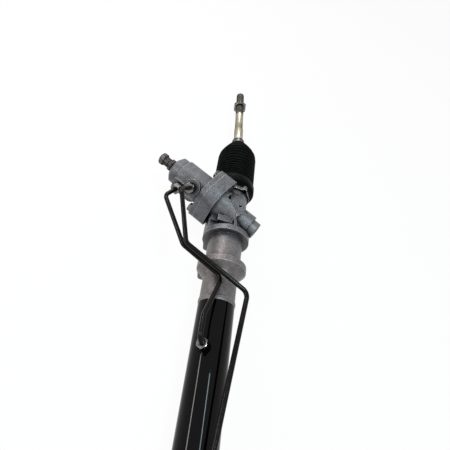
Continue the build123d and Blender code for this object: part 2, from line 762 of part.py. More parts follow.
def cylinder_tube():
    tube = along_rack(ring(2 * tube_bore_r, tube_d, tube_start, tube_end))
    for x, turn in tube_ports():
        tube -= on_tube(x, turn) * rod(port_hole_d, 0, tube_d)
    return tube


def cylinder_port_bosses():
    bosses = []
    for x, turn in tube_ports():
        boss = on_tube(x, turn) * rod(port_boss_d, tube_bore_r, port_boss_top)
        boss -= along_rack(rod(tube_d, x - port_boss_d, x + port_boss_d))
        boss -= on_tube(x, turn) * rod(port_hole_d, 0, port_boss_top)
        boss -= on_tube(x, turn) * rod(transfer_thread_d, port_seat_r, port_boss_top + 1)
        bosses.append(boss)
    return group(bosses)


def piston():
    low, high = piston_x - piston_w / 2, piston_x + piston_w / 2
    outer = 2 * (tube_bore_r - piston_gap)
    body = ring(rack_d, outer, low, high)
    body -= ring(outer - 2 * ring_depth, outer + 2, piston_x - ring_w / 2, piston_x + ring_w / 2)
    return along_rack(body)


def piston_ring():
    inner = 2 * (tube_bore_r - piston_gap - ring_depth)
    return along_rack(ring(inner, 2 * (tube_bore_r - seal_gap), piston_x - ring_w / 2, piston_x + ring_w / 2))


def piston_snap_rings():
    inner = rack_d - 2 * snap_depth
    lows = (piston_x - piston_w / 2 - snap_w, piston_x + piston_w / 2)
    return along_rack(group(ring(inner, inner + 2 * snap_stand, low, low + snap_w) for low in lows))


def cylinder_inserts():
    """Retainer and seal at the housing end; seal, bushing, stopper and wire at the far end."""
    outer = 2 * (tube_bore_r - seat_gap)
    low = tube_start + tube_socket
    retainer = ring(rack_bore_d, outer, low, low + seal_retainer_w)
    near_low = low + seal_retainer_w
    near_seal = ring(rack_d + 2 * seal_gap, outer, near_low, near_low + seal_w)
    stopper_low = tube_end - stopper_w
    bushing_low = stopper_low - bushing_w
    far_seal = ring(rack_d + 2 * seal_gap, outer, bushing_low - seal_w, bushing_low)
    bushing = ring(rack_d + 2 * running_gap, outer, bushing_low, stopper_low)
    stopper = ring(rack_bore_d, outer, stopper_low, tube_end)
    wire_low = stopper_low + stopper_w / 2 - wire_d / 2
    stopper -= ring(outer - 2 * wire_d, outer + 2, wire_low, wire_low + wire_d)
    wire = ring(outer - 2 * wire_d, outer, wire_low, wire_low + wire_d)
    return [along_rack(shape) for shape in (retainer, near_seal, far_seal, bushing, stopper, wire)]


# ---------------------------------------------------------------- ball joints and tie rods
def outward_place(side, lean=0.0):
    """The ball's centre on one side, with Z pointing out along the tie rod."""
    sideways = sin(radians(lean))
    outward = (side * cos(radians(lean)), -sideways * cos(radians(tie_lean_turn)),
               -sideways * sin(radians(tie_lean_turn)))
    centre = (gear_middle + side * (ball_x + gear_middle), 0, 0)
    return Location(Plane(origin=centre, x_dir=(0, outward[2], -outward[1]), z_dir=outward)) if lean else \
        Location(Plane(origin=centre, x_dir=(0, 1, 0), z_dir=outward))


def mouth_cone(angle, reach):
    """A cone about Z with its point at the ball's centre."""
    width = reach * tan(radians(angle))
    return turned((0, 0), (width, reach), (0, reach))


def ball_socket(side):
    outer_r = socket_d / 2
    body = turned((0, -socket_back), (outer_r, -socket_back), (outer_r, socket_front - 4),
                  (outer_r - 2, socket_front), (0, socket_front))
    body -= Sphere(socket_bore_r)
    body -= mouth_cone(socket_mouth_angle, socket_front + 1)
    body += rod(stud_d, -socket_back - washer_t - stud_len, -socket_back)
    return outward_place(side) * body


def lock_washer(side):
    low = -socket_back - washer_t
    washer = ring(stud_d + 2 * seat_gap, washer_d, low, low + washer_t)
    return outward_place(side) * washer


def ball_liner(side, lean):
    outer_r = socket_bore_r - ball_gap
    shell = Sphere(outer_r) - Sphere(outer_r - ball_liner_t)
    shell -= mouth_cone(liner_mouth_angle, 2 * outer_r)
    return outward_place(side, lean) * shell


def tie_rod(side, lean):
    neck_r, shank_r = tie_neck_d / 2, tie_shank_d / 2
    thread_r, mesh_r = tie_thread_d / 2, tie_thread_mesh_d / 2
    neck_end = ball_d / 2 + 7
    body = turned((0, 0), (neck_r, 0), (neck_r, neck_end), (shank_r, neck_end + 6), (shank_r, tie_shank_end),
                  (tie_mid_d / 2, tie_shank_end + 1.5), (tie_mid_d / 2, tie_thread_start),
                  (thread_r, tie_thread_start + 1), (thread_r, jam_nut_at), (mesh_r, jam_nut_at),
                  (mesh_r, jam_nut_at + jam_nut_t), (thread_r, jam_nut_at + jam_nut_t),
                  (thread_r, tie_length - 1.5), (thread_r - 1.5, tie_length), (0, tie_length))
    return outward_place(side, lean) * (body + Sphere(ball_d / 2))


def jam_nut(side, lean):
    nut = hex_nut(jam_nut_af, tie_thread_mesh_d, jam_nut_at, jam_nut_at + jam_nut_t, bevel=1.0)
    return outward_place(side, lean) * nut


# ---------------------------------------------------------------- boots
def boot_station(distance):
    """A distance out from the housing's end face, as a height over the ball's centre."""
    return distance - (ball_x - housing_left)


def boot_grooves():
    """Where the grooves between the folds lie: close together beside the cuff, then evenly spaced."""
    grooves, pitch = [boot_cuff_end], boot_first_pitch
    while grooves[-1] + pitch < boot_nose_end - boot_first_pitch / 2:
        grooves.append(grooves[-1] + pitch)
        pitch = min(boot_pitch, pitch + boot_pitch_growth)
    return grooves + [boot_nose_end]


def boot_crest_r(distance):
    """Radius over the crests: even along the body, then drawn in to the nose."""
    body_end = boot_grooves()[boot_body_folds]
    share = max(0.0, (distance - body_end) / (boot_nose_end - body_end))
    return boot_crest_d / 2 - (boot_crest_d - boot_nose_crest_d) / 2 * share ** boot_taper_curve


def fold_outline(grooves):
    """(radius, height) over these folds, from groove to crest to groove."""
    outline = []
    for low, high in zip(grooves, grooves[1:]):
        depth = boot_fold_depth * min(1.0, (high - low) / boot_pitch + 0.12)
        middle = (low + high) / 2
        outline.append((boot_crest_r(low) - depth, boot_station(low)))
        outline.append((boot_crest_r(middle), boot_station(middle)))
    return outline


def skin(outline, bore_r):
    """A shell of the boot's wall thickness under an outline that runs outwards from the mouth."""
    inside = [(max(bore_r, radius - boot_wall), height) for radius, height in reversed(outline)]
    return turned(*outline, *inside)


def boot(side, lean):
    """The bellows: its body round the housing's end, and its nose along the tie rod."""
    mouth, cuff_low, cuff_high = boot_station(-spigot_len), boot_station(3.0), boot_station(boot_cuff_end)
    lip_r, cuff_r = boot_lip_d / 2, boot_cuff_d / 2
    band_r, band_low = lip_r - clamp_seat_depth, mouth + clamp_start
    band_high = band_low + clamp_w
    grooves = boot_grooves()
    body_grooves, nose_grooves = grooves[:boot_body_folds + 1], grooves[boot_body_folds:]
    body_end_r = boot_crest_d / 2 - boot_fold_depth
    lip = turned((spigot_d / 2, mouth), (lip_r, mouth), (lip_r, band_low), (band_r, band_low), (band_r, band_high),
                 (cuff_r, cuff_low), (cuff_r, cuff_high - 1), (cuff_r - boot_wall, cuff_high - 1),
                 (cuff_r - boot_wall, cuff_low + 1), (spigot_d / 2, band_high))
    body = skin([(cuff_r, cuff_high - 2)] + fold_outline(body_grooves) +
                [(body_end_r, boot_station(body_grooves[-1]))], spigot_d / 2)
    nose_end, neck_r, bore_r = boot_station(boot_nose_end), boot_neck_d / 2, tie_shank_d / 2
    neck_end = nose_end + boot_neck_len
    nose = skin([(body_end_r, boot_station(nose_grooves[0]) - 2 * boot_wall)] + fold_outline(nose_grooves) +
                [(neck_r, nose_end + 1), (neck_r, neck_end - 1.5), (neck_r + 1, neck_end)], bore_r)
    return outward_place(side) * (lip + body) + outward_place(side, lean) * nose


def boot_clamp(side):
    low = boot_station(-spigot_len) + clamp_start
    band_r = boot_lip_d / 2 - clamp_seat_depth
    band = ring(2 * band_r, 2 * (band_r + clamp_t), low, low + clamp_w)
    ear_out, ear_along, ear_across = clamp_ear
    ear = Pos(band_r + clamp_t / 2 + ear_out / 2, 0, low + clamp_w / 2) * Box(ear_out, ear_across, ear_along)
    ear -= Pos(band_r + clamp_t + ear_out / 2 - 1, 0, low + clamp_w / 2) * Box(ear_out - 2, ear_across - 2.4, clamp_w)
    return outward_place(side) * Rot(0, 0, clamp_turn) * (band + ear)


def boot_clip(side, lean):
    low = boot_station(boot_nose_end) + (boot_neck_len - clip_w) / 2
    return outward_place(side, lean) * ring(boot_neck_d, clip_d, low, low + clip_w)


# ---------------------------------------------------------------- transfer pipes
def point_at(place, distance):
    """A point a given distance along a place's Z."""
    return (place * Pos(0, 0, distance)).position


def pipe(number, route, port):
    valve_end = across_pinion(transfer_stations[number], transfer_turns[number])
    tube_end_place = on_tube(*port)
    points = [point_at(valve_end, transfer_boss_tops[number] - pipe_insert),
              point_at(valve_end, pipe_leave[number]), *[Vector(*point) for point in route],
              point_at(tube_end_place, tube_d / 2 + pipe_rises[number]), point_at(tube_end_place, port_boss_top - pipe_insert)]
    radii = [pipe_bend_r] * (len(points) - 3) + [pipe_last_bend_r]
    path = FilletPolyline(*points, radius=radii)
    start = Plane(origin=path @ 0, z_dir=path % 0)
    return sweep(start * Circle(pipe_d / 2), path=path)


def union_nut(across_flats, length):
    """A flare nut about Z whose hexagon stands on the boss face at height zero."""
    nut = hex_nut(across_flats, pipe_d + 2 * pipe_nut_gap, 0, length)
    thread = ring(pipe_d + 2 * pipe_nut_gap, transfer_thread_d - 2 * seat_gap, -union_thread_len + 0.5, 0)
    return nut + thread


def valve_union_nuts():
    nuts = []
    for station, turn, top in zip(transfer_stations, transfer_turns, transfer_boss_tops):
        nuts.append(across_pinion(station, turn) * Pos(0, 0, top) * union_nut(valve_nut_af, valve_nut_len))
    return group(nuts)


def cylinder_union_nuts():
    nuts = [on_tube(x, turn) * Pos(0, 0, port_boss_top) * union_nut(tube_nut_af, tube_nut_len) for x, turn in tube_ports()]
    return group(nuts)


# ---------------------------------------------------------------- write every sub-part
def main():
    os.makedirs("parts", exist_ok=True)
    near_port, far_port = tube_ports()
    save("pinion_housing", pinion_housing())
    save("valve_housing", valve_housing())
    save("valve_housing_bolts", valve_housing_bolts())
    save("valve_housing_o_ring", joint_o_ring())
    save("pinion_lower_bearing", on_pinion * sealed_bearing(lower_bearing, lower_bearing_start))
    save("pinion_upper_bearing", on_pinion * sealed_bearing(upper_bearing, upper_bearing_start))
    seal_low = upper_bearing_start + upper_bearing[2] + 0.5
    save("pinion_oil_seal", on_pinion * ring(upper_bearing[0] - 2 * running_gap + 2 * seal_gap, upper_bearing[1],
                                             seal_low, seal_low + upper_seal_w))
    save("pinion_end_plug", pinion_end_plug())
    for name, shape in zip(("input_shaft_bearing", "input_shaft_seal", "input_snap_ring"), input_seals()):
        save(name, shape)
    save("rack_guide", rack_guide())
    save("rack_guide_liner", rack_guide_liner())
    save("rack_guide_springs", guide_springs())
    save("rack_guide_plug", guide_plug())
    save("rack_guide_lock_nut", guide_lock_nut())
    save("rack_guide_o_ring", guide_o_ring())
    save("cylinder_tube", cylinder_tube())
    save("cylinder_port_bosses", cylinder_port_bosses())
    inserts = ("inner_seal_retainer", "inner_rack_seal", "outer_rack_seal", "rack_bushing", "cylinder_end_stopper",
               "end_stopper_wire")
    for name, shape in zip(inserts, cylinder_inserts()):
        save(name, shape)
    save("short_transfer_pipe", pipe(0, short_pipe_route, near_port))
    save("long_transfer_pipe", pipe(1, long_pipe_route, far_port))
    save("valve_union_nuts", valve_union_nuts())
    save("cylinder_union_nuts", cylinder_union_nuts())
    save("rack_bar", rack_bar())
    save("piston", piston())
    save("piston_ring", piston_ring())
    save("piston_snap_rings", piston_snap_rings())
    save("pinion_shaft", pinion_shaft())
    save("valve_sleeve", valve_sleeve())
    save("sleeve_seal_rings", sleeve_seal_rings())
    save("sleeve_pin", sleeve_pin())
    save("torsion_bar", torsion_bar())
    save("input_shaft", input_shaft())
    save("torsion_bar_pin", cross_pin())
    save("input_dust_cover", input_dust_cover())
    for side, label, lean in ((-1, "left", tie_lean), (1, "right", 0.0)):
        save(f"ball_socket_{label}", ball_socket(side))
        save(f"lock_washer_{label}", lock_washer(side))
        save(f"ball_liner_{label}", ball_liner(side, lean))
        save(f"tie_rod_{label}", tie_rod(side, lean))
        save(f"jam_nut_{label}", jam_nut(side, lean))
        save(f"boot_{label}", boot(side, lean))
        save(f"boot_clamp_{label}", boot_clamp(side))
        save(f"boot_clip_{label}", boot_clip(side, lean))


main()
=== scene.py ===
"""Looks of a hydraulic power steering rack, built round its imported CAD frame.

X runs along the rack, +Z points from the rack towards the pinion, and the valve lies towards -Y, as in
the CAD. All lengths are in metres; MM turns millimetres into them.
"""
import json
from math import cos, exp, pi, radians, sin, sqrt

import bpy
from mathutils import Matrix, Vector


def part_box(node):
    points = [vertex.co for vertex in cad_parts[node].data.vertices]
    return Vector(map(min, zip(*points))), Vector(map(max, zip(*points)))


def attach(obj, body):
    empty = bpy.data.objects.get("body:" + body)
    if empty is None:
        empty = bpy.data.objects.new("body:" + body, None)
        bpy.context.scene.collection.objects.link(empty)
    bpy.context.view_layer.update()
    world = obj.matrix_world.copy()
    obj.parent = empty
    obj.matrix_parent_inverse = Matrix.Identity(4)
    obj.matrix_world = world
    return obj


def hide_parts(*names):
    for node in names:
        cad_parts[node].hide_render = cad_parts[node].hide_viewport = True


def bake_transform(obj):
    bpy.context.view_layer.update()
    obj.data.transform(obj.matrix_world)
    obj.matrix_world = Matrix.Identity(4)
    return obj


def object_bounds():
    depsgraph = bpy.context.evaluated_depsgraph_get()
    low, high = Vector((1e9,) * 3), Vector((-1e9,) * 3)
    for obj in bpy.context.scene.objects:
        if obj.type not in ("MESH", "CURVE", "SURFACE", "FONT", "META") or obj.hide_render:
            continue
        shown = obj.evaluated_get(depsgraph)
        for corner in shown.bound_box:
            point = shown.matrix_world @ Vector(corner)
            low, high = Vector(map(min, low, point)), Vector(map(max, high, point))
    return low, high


MM = 0.001
NEARLY = 1e-9                   # slack when two stations are compared
AXIS_R = 0.2 * MM               # where a lathed rod's flat end stops, just short of its axis

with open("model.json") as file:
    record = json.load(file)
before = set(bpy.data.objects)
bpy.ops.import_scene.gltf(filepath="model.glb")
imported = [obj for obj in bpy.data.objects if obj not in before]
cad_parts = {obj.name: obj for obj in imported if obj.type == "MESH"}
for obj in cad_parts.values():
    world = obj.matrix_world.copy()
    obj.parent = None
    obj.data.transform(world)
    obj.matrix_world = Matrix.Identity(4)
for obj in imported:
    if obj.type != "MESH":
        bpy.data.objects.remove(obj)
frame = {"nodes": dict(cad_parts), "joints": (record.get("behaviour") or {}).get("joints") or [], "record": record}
cad_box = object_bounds()
nodes = frame["nodes"]
mounts = {mount["name"]: mount for mount in frame["record"]["mounts"]}
joints = {joint["name"]: joint for joint in frame["joints"]}
RACK_AXIS = Vector((1, 0, 0))
SIDES = ("left", "right")
OUTWARDS = {"left": -RACK_AXIS, "right": RACK_AXIS}


# ---------------------------------------------------------------- mesh helpers
def mesh_piece(name, points, faces, material, sharp=40):
    """One closed mesh object, smooth but for edges sharper than that many degrees."""
    mesh = bpy.data.meshes.new(name)
    mesh.from_pydata([tuple(point) for point in points], [], faces)
    mesh.validate()
    mesh.shade_smooth()
    mesh.set_sharp_from_angle(angle=radians(sharp))
    mesh.materials.append(material)
    piece = bpy.data.objects.new(name, mesh)
    bpy.context.scene.collection.objects.link(piece)
    return piece


def grid_faces(rows, columns, close_rows=False):
    """Quads between rings of points; each ring closes on itself, and the last ring may join the first."""
    faces = []
    for row in range(rows if close_rows else rows - 1):
        below, above = row * columns, (row + 1) % rows * columns
        for column in range(columns):
            beside = (column + 1) % columns
            faces.append((below + column, below + beside, above + beside, above + column))
    return faces


def placed_on(origin, direction, reference=(0, 0, 1)):
    """A place whose z runs along the direction, and whose x is as near the reference as it can be."""
    z = Vector(direction).normalized()
    x = (Vector(reference) - z * z.dot(Vector(reference))).normalized()
    turn = Matrix((x, z.cross(x), z)).transposed().to_4x4()
    return Matrix.Translation(Vector(origin)) @ turn


def lathe(name, place, profile, material, steps=96, sharp=40, ripple=None):
    """A closed loop of (radius, height) points turned about the place's z.

    ripple(angle, radius, height) is added to the radius.
    """
    points = []
    for radius, height in profile:
        for step in range(steps):
            angle = 2 * pi * step / steps
            reach = radius + (ripple(angle, radius, height) if ripple else 0)
            points.append(place @ Vector((reach * cos(angle), reach * sin(angle), height)))
    return mesh_piece(name, points, grid_faces(len(profile), steps, close_rows=True), material, sharp)


# ---------------------------------------------------------------- material helpers
class Shader:
    """A new material with its Principled shader, and short calls for the nodes that feed it."""

    def __init__(self, name, roughness=0.5, metallic=0.0, specular=0.5):
        self.material = bpy.data.materials.new(name)
        self.material.use_nodes = True
        self.tree = self.material.node_tree
        self.shader = self.tree.nodes["Principled BSDF"]
        self.shader.inputs["Roughness"].default_value = roughness
        self.shader.inputs["Metallic"].default_value = metallic
        self.shader.inputs["Specular IOR Level"].default_value = specular
        self.place = self.node("ShaderNodeTexCoord").outputs["Object"]

    def node(self, kind, links=None, **values):
        """A new node, with its properties set by name and its sockets fed by the links."""
        made = self.tree.nodes.new(kind)
        for key, value in values.items():
            setattr(made, key, value)
        for socket, source in (links or {}).items():
            self.feed(made.inputs[socket], source)
        return made

    def feed(self, socket, source):
        """Links a socket to another node's output, or sets its number or colour."""
        if isinstance(source, bpy.types.NodeSocket):
            self.tree.links.new(source, socket)
        else:
            socket.default_value = source

    def noise(self, size, detail=3.0):
        """Noise whose features are about that size, in metres, from 0 to 1."""
        links = {"Vector": self.place, "Scale": 1 / size, "Detail": detail}
        return self.node("ShaderNodeTexNoise", links).outputs["Fac"]

    def ramp(self, source, low, high, start, end):
        """The source's span start to end, turned into low to high."""
        links = {"Value": source, "From Min": start, "From Max": end, "To Min": low, "To Max": high}
        return self.node("ShaderNodeMapRange", links).outputs["Result"]

    def along_x(self, start, end):
        """0 before the first station of the rack and 1 past the second."""
        station = self.node("ShaderNodeSeparateXYZ", {0: self.place}).outputs["X"]
        return self.ramp(station, 0, 1, start, end)

    def mix(self, share, first, second, blend="MIX"):
        """The second colour over the first, by the share."""
        made = self.node("ShaderNodeMix", data_type="RGBA", blend_type=blend)
        self.feed(made.inputs["Factor"], share)
        self.feed(made.inputs[6], first)
        self.feed(made.inputs[7], second)
        return made.outputs[2]

    def corner_shade(self, distance):
        """1 in the open and less in corners and under overhangs; the mask for painted shade."""
        return self.node("ShaderNodeAmbientOcclusion", {"Distance": distance}, samples=8).outputs["AO"]

    def round_edges(self, radius):
        """The normal of the surface with its sharp edges rounded to the radius."""
        return self.node("ShaderNodeBevel", {"Radius": radius}, samples=6).outputs["Normal"]

    def wear_and_edge_highlight(self, radius, low, high):
        """0 on flats and rounds, rising to 1 along edges that are sharper than the radius; the mask for wear and
        painted highlight on edges.
        """
        true_normal = self.node("ShaderNodeNewGeometry").outputs["Normal"]
        links = {0: self.round_edges(radius), 1: true_normal}
        along = self.node("ShaderNodeVectorMath", links, operation="DOT_PRODUCT").outputs["Value"]
        return self.ramp(along, 0, 1, 1 - low, 1 - high)

    def bump(self, height, depth, strength=1.0, normal=None):
        """The normal, raised by the height's pattern, in metres of depth."""
        links = {"Height": height, "Distance": depth, "Strength": strength}
        if normal is not None:
            links["Normal"] = normal
        return self.node("ShaderNodeBump", links).outputs["Normal"]

    def finish(self, colour, roughness=None, normal=None):
        """Feeds the shader and returns the material; what is not given stays as it was made."""
        for socket, source in (("Base Color", colour), ("Roughness", roughness), ("Normal", normal)):
            if source is not None:
                self.feed(self.shader.inputs[socket], source)
        return self.material


def grey(value, warmth=0.0):
    """A grey, a little warmer or cooler."""
    return (value * (1 + warmth), value, value * (1 - warmth), 1)


# ---------------------------------------------------------------- materials
def cast_aluminium():
    """Sand-blasted die casting: clouded tone, fine grain, a painted lighter and warmer tone towards the tube,
    edges lightened as wear and painted highlight, and painted shade in the corners.
    """
    made = Shader("cast_aluminium_blasted", metallic=0.5, specular=0.15)
    drift, cloud = made.noise(70 * MM, 1), made.noise(7 * MM, 5)
    mottle, grain = made.noise(2.2 * MM, 2), made.noise(0.6 * MM, 2)
    tone = made.mix(made.ramp(drift, 0, 1, 0.42, 0.58), (0.096, 0.096, 0.104, 1), (0.107, 0.104, 0.108, 1))
    tone = made.mix(made.ramp(cloud, 0, 0.6, 0.38, 0.66), tone, (0.156, 0.157, 0.168, 1))
    tone = made.mix(made.ramp(mottle, 0, 0.6, 0.5, 0.8), tone, grey(0.25))
    tone = made.mix(made.ramp(grain, 0, 0.4, 0.5, 0.75), tone, grey(0.3))
    # Painted light: the casting turns lighter and warmer from x = -30 mm to 5 mm and stays so towards the tube.
    tone = made.mix(made.along_x(-30 * MM, 5 * MM), tone, (1.28, 1.15, 1.07, 1), "MULTIPLY")
    # Edges lightened: partly wear, partly a painted highlight along the rims.
    tone = made.mix(made.wear_and_edge_highlight(1.3 * MM, 0.02, 0.22), tone, grey(0.5, 0.01))
    # Painted shade: corners and the space under overhangs darkened towards near black.
    tone = made.mix(made.ramp(made.corner_shade(12 * MM), 1, 0, 0.35, 0.99), tone, grey(0.016, 0.05))
    rough = made.bump(grain, 0.2 * MM, 0.7, made.round_edges(1.1 * MM))
    uneven = made.bump(mottle, 0.3 * MM, 0.5, rough)
    gloss = made.ramp(cloud, 0.32, 0.46, 0.3, 0.7)
    return made.finish(tone, gloss, made.bump(cloud, 0.6 * MM, 0.7, uneven))


def machined_aluminium():
    """Turned aluminium of the plugs, the retainer and the rack guide: fine lines and painted shade in the corners.
    """
    made = Shader("machined_aluminium_turned", metallic=0.5, roughness=0.42)
    lines = made.noise(0.3 * MM, 2)
    tone = made.mix(made.ramp(lines, 0, 1, 0.3, 0.7), grey(0.1), grey(0.17))
    # Painted shade in the corners and under overhangs.
    tone = made.mix(made.ramp(made.corner_shade(4 * MM), 0.85, 0, 0.4, 0.95), tone, grey(0.03))
    normal = made.bump(lines, 0.05 * MM, 0.4, made.round_edges(0.5 * MM))
    return made.finish(tone, normal=normal)


def plated_metal(name, dark, light, painted_shade, edge, roughness, cloud_size=4 * MM, grain_depth=0.04 * MM):
    """Bare or plated steel: clouds from dark to light, fine grain, edges lightened as wear and painted highlight,
    and painted shade in the recesses.

    The roughness is a pair, for the dark and the light parts of the clouds.
    """
    made = Shader(name, metallic=1.0)
    made.shader.inputs["Specular Tint"].default_value = grey(0.35)
    cloud, grain = made.noise(cloud_size, 3), made.noise(0.45 * MM, 2)
    tone = made.mix(made.ramp(cloud, 0, 1, 0.3, 0.7), dark, light)
    # Edges lightened: partly wear, partly a painted highlight.
    tone = made.mix(made.wear_and_edge_highlight(0.5 * MM, 0.03, 0.3), tone, edge)
    # Painted shade in the recesses and under overhangs.
    tone = made.mix(made.ramp(made.corner_shade(3.5 * MM), 0.95, 0, 0.3, 0.95), tone, painted_shade)
    normal = made.bump(grain, grain_depth, 0.4, made.round_edges(0.45 * MM))
    return made.finish(tone, made.ramp(cloud, *roughness, 0.3, 0.7), normal)


def ground_steel():
    """Bare steel of the shafts, the rack, the ball sockets and the bearings."""
    return plated_metal("ground_steel", dark=grey(0.026, 0.06), light=grey(0.07, 0.05), painted_shade=grey(0.005),
                        edge=grey(0.3, 0.03), roughness=(0.2, 0.32))


def rolled_serrations():
    """Bare steel of the input shaft's teeth, brighter than the ground shaft."""
    return plated_metal("rolled_serration_steel", dark=grey(0.05, 0.05), light=grey(0.12, 0.04),
                        painted_shade=grey(0.006), edge=grey(0.4), roughness=(0.2, 0.3))


def bright_zinc():
    """Plating of the bolts, nuts, washers and boot clamps."""
    return plated_metal("bright_zinc_plate", dark=grey(0.1, 0.02), light=grey(0.24, 0.02),
                        painted_shade=grey(0.006), edge=grey(0.92), roughness=(0.14, 0.28))


def yellow_zinc():
    """Yellow plating of the tie rods' shanks."""
    return plated_metal("yellow_zinc_plate", dark=(0.42, 0.38, 0.28, 1), light=(0.6, 0.57, 0.48, 1),
                        painted_shade=(0.03, 0.02, 0.01, 1), edge=(0.7, 0.67, 0.58, 1), roughness=(0.2, 0.28),
                        cloud_size=14 * MM, grain_depth=0.01 * MM)


def thread_steel():
    """The tie rods' dark threads."""
    return plated_metal("dark_thread_steel", dark=(0.07, 0.06, 0.045, 1), light=(0.13, 0.12, 0.095, 1),
                        painted_shade=grey(0.01), edge=(0.22, 0.21, 0.17, 1), roughness=(0.3, 0.42))


def spring_steel():
    """Blued steel of the springs, the pins and the snap rings."""
    made = Shader("blued_spring_steel", metallic=0.9)
    cloud = made.noise(3 * MM, 3)
    tone = made.mix(cloud, grey(0.1, -0.1), grey(0.2, -0.05))
    return made.finish(tone, made.ramp(cloud, 0.3, 0.45, 0.3, 0.7))


def black_paint():
    """Gloss paint with a faint orange peel and a little dust."""
    made = Shader("gloss_black_paint", specular=0.12)
    peel, dust = made.noise(2.5 * MM, 2), made.noise(9 * MM, 5)
    tone = made.mix(made.ramp(dust, 0, 1, 0.45, 0.75), grey(0.0004), grey(0.001))
    return made.finish(tone, made.ramp(dust, 0.04, 0.08, 0.4, 0.7), made.bump(peel, 0.03 * MM, 0.2))


def coated_pipe():
    """Brown-black coating of the fluid pipes."""
    made = Shader("coated_pipe_steel", specular=0.13)
    cloud, grain = made.noise(6 * MM, 3), made.noise(0.7 * MM, 2)
    dark, light = (0.001, 0.0007, 0.0005, 1), (0.005, 0.0034, 0.0024, 1)
    tone = made.mix(made.ramp(cloud, 0, 1, 0.35, 0.65), dark, light)
    return made.finish(tone, made.ramp(cloud, 0.12, 0.2, 0.3, 0.7), made.bump(grain, 0.015 * MM, 0.3))


def boot_rubber():
    """Moulded black rubber with a matt grain."""
    made = Shader("boot_rubber_moulded", specular=0.035)
    cloud, grain = made.noise(9 * MM, 4), made.noise(0.45 * MM, 2)
    dark, light = (0.0007, 0.0009, 0.0009, 1), (0.003, 0.004, 0.0038, 1)
    tone = made.mix(made.ramp(cloud, 0, 1, 0.35, 0.65), dark, light)
    return made.finish(tone, made.ramp(cloud, 0.36, 0.5, 0.3, 0.7), made.bump(grain, 0.08 * MM, 0.35))


def seal_rubber():
    """Matt rubber of the seals and O-rings."""
    made = Shader("seal_rubber_matt", specular=0.2)
    cloud = made.noise(3 * MM, 3)
    return made.finish(made.mix(cloud, grey(0.006), grey(0.014)), made.ramp(cloud, 0.55, 0.7, 0.3, 0.7))


def bearing_bronze():
    """Sintered bronze of the rack's bush and the guide's liner."""
    made = Shader("sintered_bronze", metallic=0.9)
    cloud = made.noise(1.5 * MM, 4)
    tone = made.mix(cloud, (0.34, 0.2, 0.08, 1), (0.5, 0.33, 0.15, 1))
    return made.finish(tone, made.ramp(cloud, 0.35, 0.5, 0.3, 0.7))


def nylon():
    """Pale nylon of the ball liners and the sliding rings."""
    made = Shader("natural_nylon", specular=0.4)
    cloud = made.noise(4 * MM, 3)
    tone = made.mix(cloud, (0.6, 0.57, 0.46, 1), (0.68, 0.65, 0.55, 1))
    return made.finish(tone, made.ramp(cloud, 0.45, 0.6, 0.3, 0.7))


finishes = {
    "cast_aluminium": cast_aluminium(),
    "machined_aluminium": machined_aluminium(),
    "machined_steel": ground_steel(),
    "bearing_steel": ground_steel(),
    "spring_steel": spring_steel(),
    "zinc_steel": bright_zinc(),
    "black_paint": black_paint(),
    "coated_pipe": coated_pipe(),
    "bearing_bronze": bearing_bronze(),
    "boot_rubber": boot_rubber(),
    "seal_rubber": seal_rubber(),
    "nylon": nylon(),
}
shank_finish, thread_finish, serration_finish = yellow_zinc(), thread_steel(), rolled_serrations()
for node in nodes.values():
    slot_name = node.data.materials[0].name.split(".")[0]
    node.data.materials[0] = finishes[slot_name]


# ---------------------------------------------------------------- boots
# Stations are measured along the boot from its mouth, which sits on the housing's spigot.
SPIGOT_R = 24 * MM
LIP_R = 27.5 * MM
BAND_SEAT_R = 26.7 * MM
BAND_FROM, BAND_TO = 1.5 * MM, 9.5 * MM
CUFF_R = 35.4 * MM
CUFF_FROM, CUFF_TO = 14 * MM, 27 * MM
CREST_R, CRESTS_LEVEL_TO = 33.9 * MM, 98 * MM
SHOULDER_BEND = 1.25            # above 1, the shoulder starts flat and falls faster towards the nose
NOSE_R, NOSE_TO = 14.6 * MM, 136 * MM
NECK_R, NECK_BORE_R = 10.5 * MM, 8.5 * MM
NECK_FLAT_FROM, NECK_TO = NOSE_TO + 1.2 * MM, 149 * MM
BEAD = 1 * MM                   # the bead at the neck's end stands this far out
SKIN = 1.5 * MM
FIRST_PITCH, FULL_PITCH, PITCH_GROWTH = 3.8 * MM, 7.2 * MM, 0.42 * MM
FOLD_DEPTH = 5.2 * MM
NARROW_FOLD_EXTRA = 0.12        # share of the full depth added to what a narrow fold's pitch gives
FOLD_ROUNDNESS = 0.62           # below 1, the crests are broader than the grooves
FOLD_SAMPLES = 10
BOOT_STEPS = 88
LEAN_LENGTH = 30 * MM           # the boot turns into the tie rod's direction over this length
MOUTHS = {"left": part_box("boot_left")[1].x, "right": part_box("boot_right")[0].x}
STRETCHING_LENGTHS = ("cuff", "first_folds", "near_folds", "body", "far_folds", "last_folds", "shoulder")
# Where one length hands over to the next: (number of the groove, share of the blend's length there)
HAND_OVERS = ((1, 0.095), (3, 0.211), (5, 0.316), (12, 0.729), (13, 0.807), (14, 0.907))


def fold_edges():
    """Stations of the grooves, outwards from the cuff: the folds between them widen, then stay even."""
    edges, pitch = [CUFF_TO], FIRST_PITCH
    while edges[-1] + pitch < NOSE_TO - FIRST_PITCH / 2:
        edges.append(edges[-1] + pitch)
        pitch = min(FULL_PITCH, pitch + PITCH_GROWTH)
    edges.append(NOSE_TO - 0.5 * MM)
    return edges


def crest_radius(station):
    """The line through the folds' crests: level over the body, then a shoulder down to the nose."""
    if station <= CRESTS_LEVEL_TO:
        return CREST_R
    share = (station - CRESTS_LEVEL_TO) / (NOSE_TO - CRESTS_LEVEL_TO)
    return CREST_R - (CREST_R - NOSE_R) * share ** SHOULDER_BEND


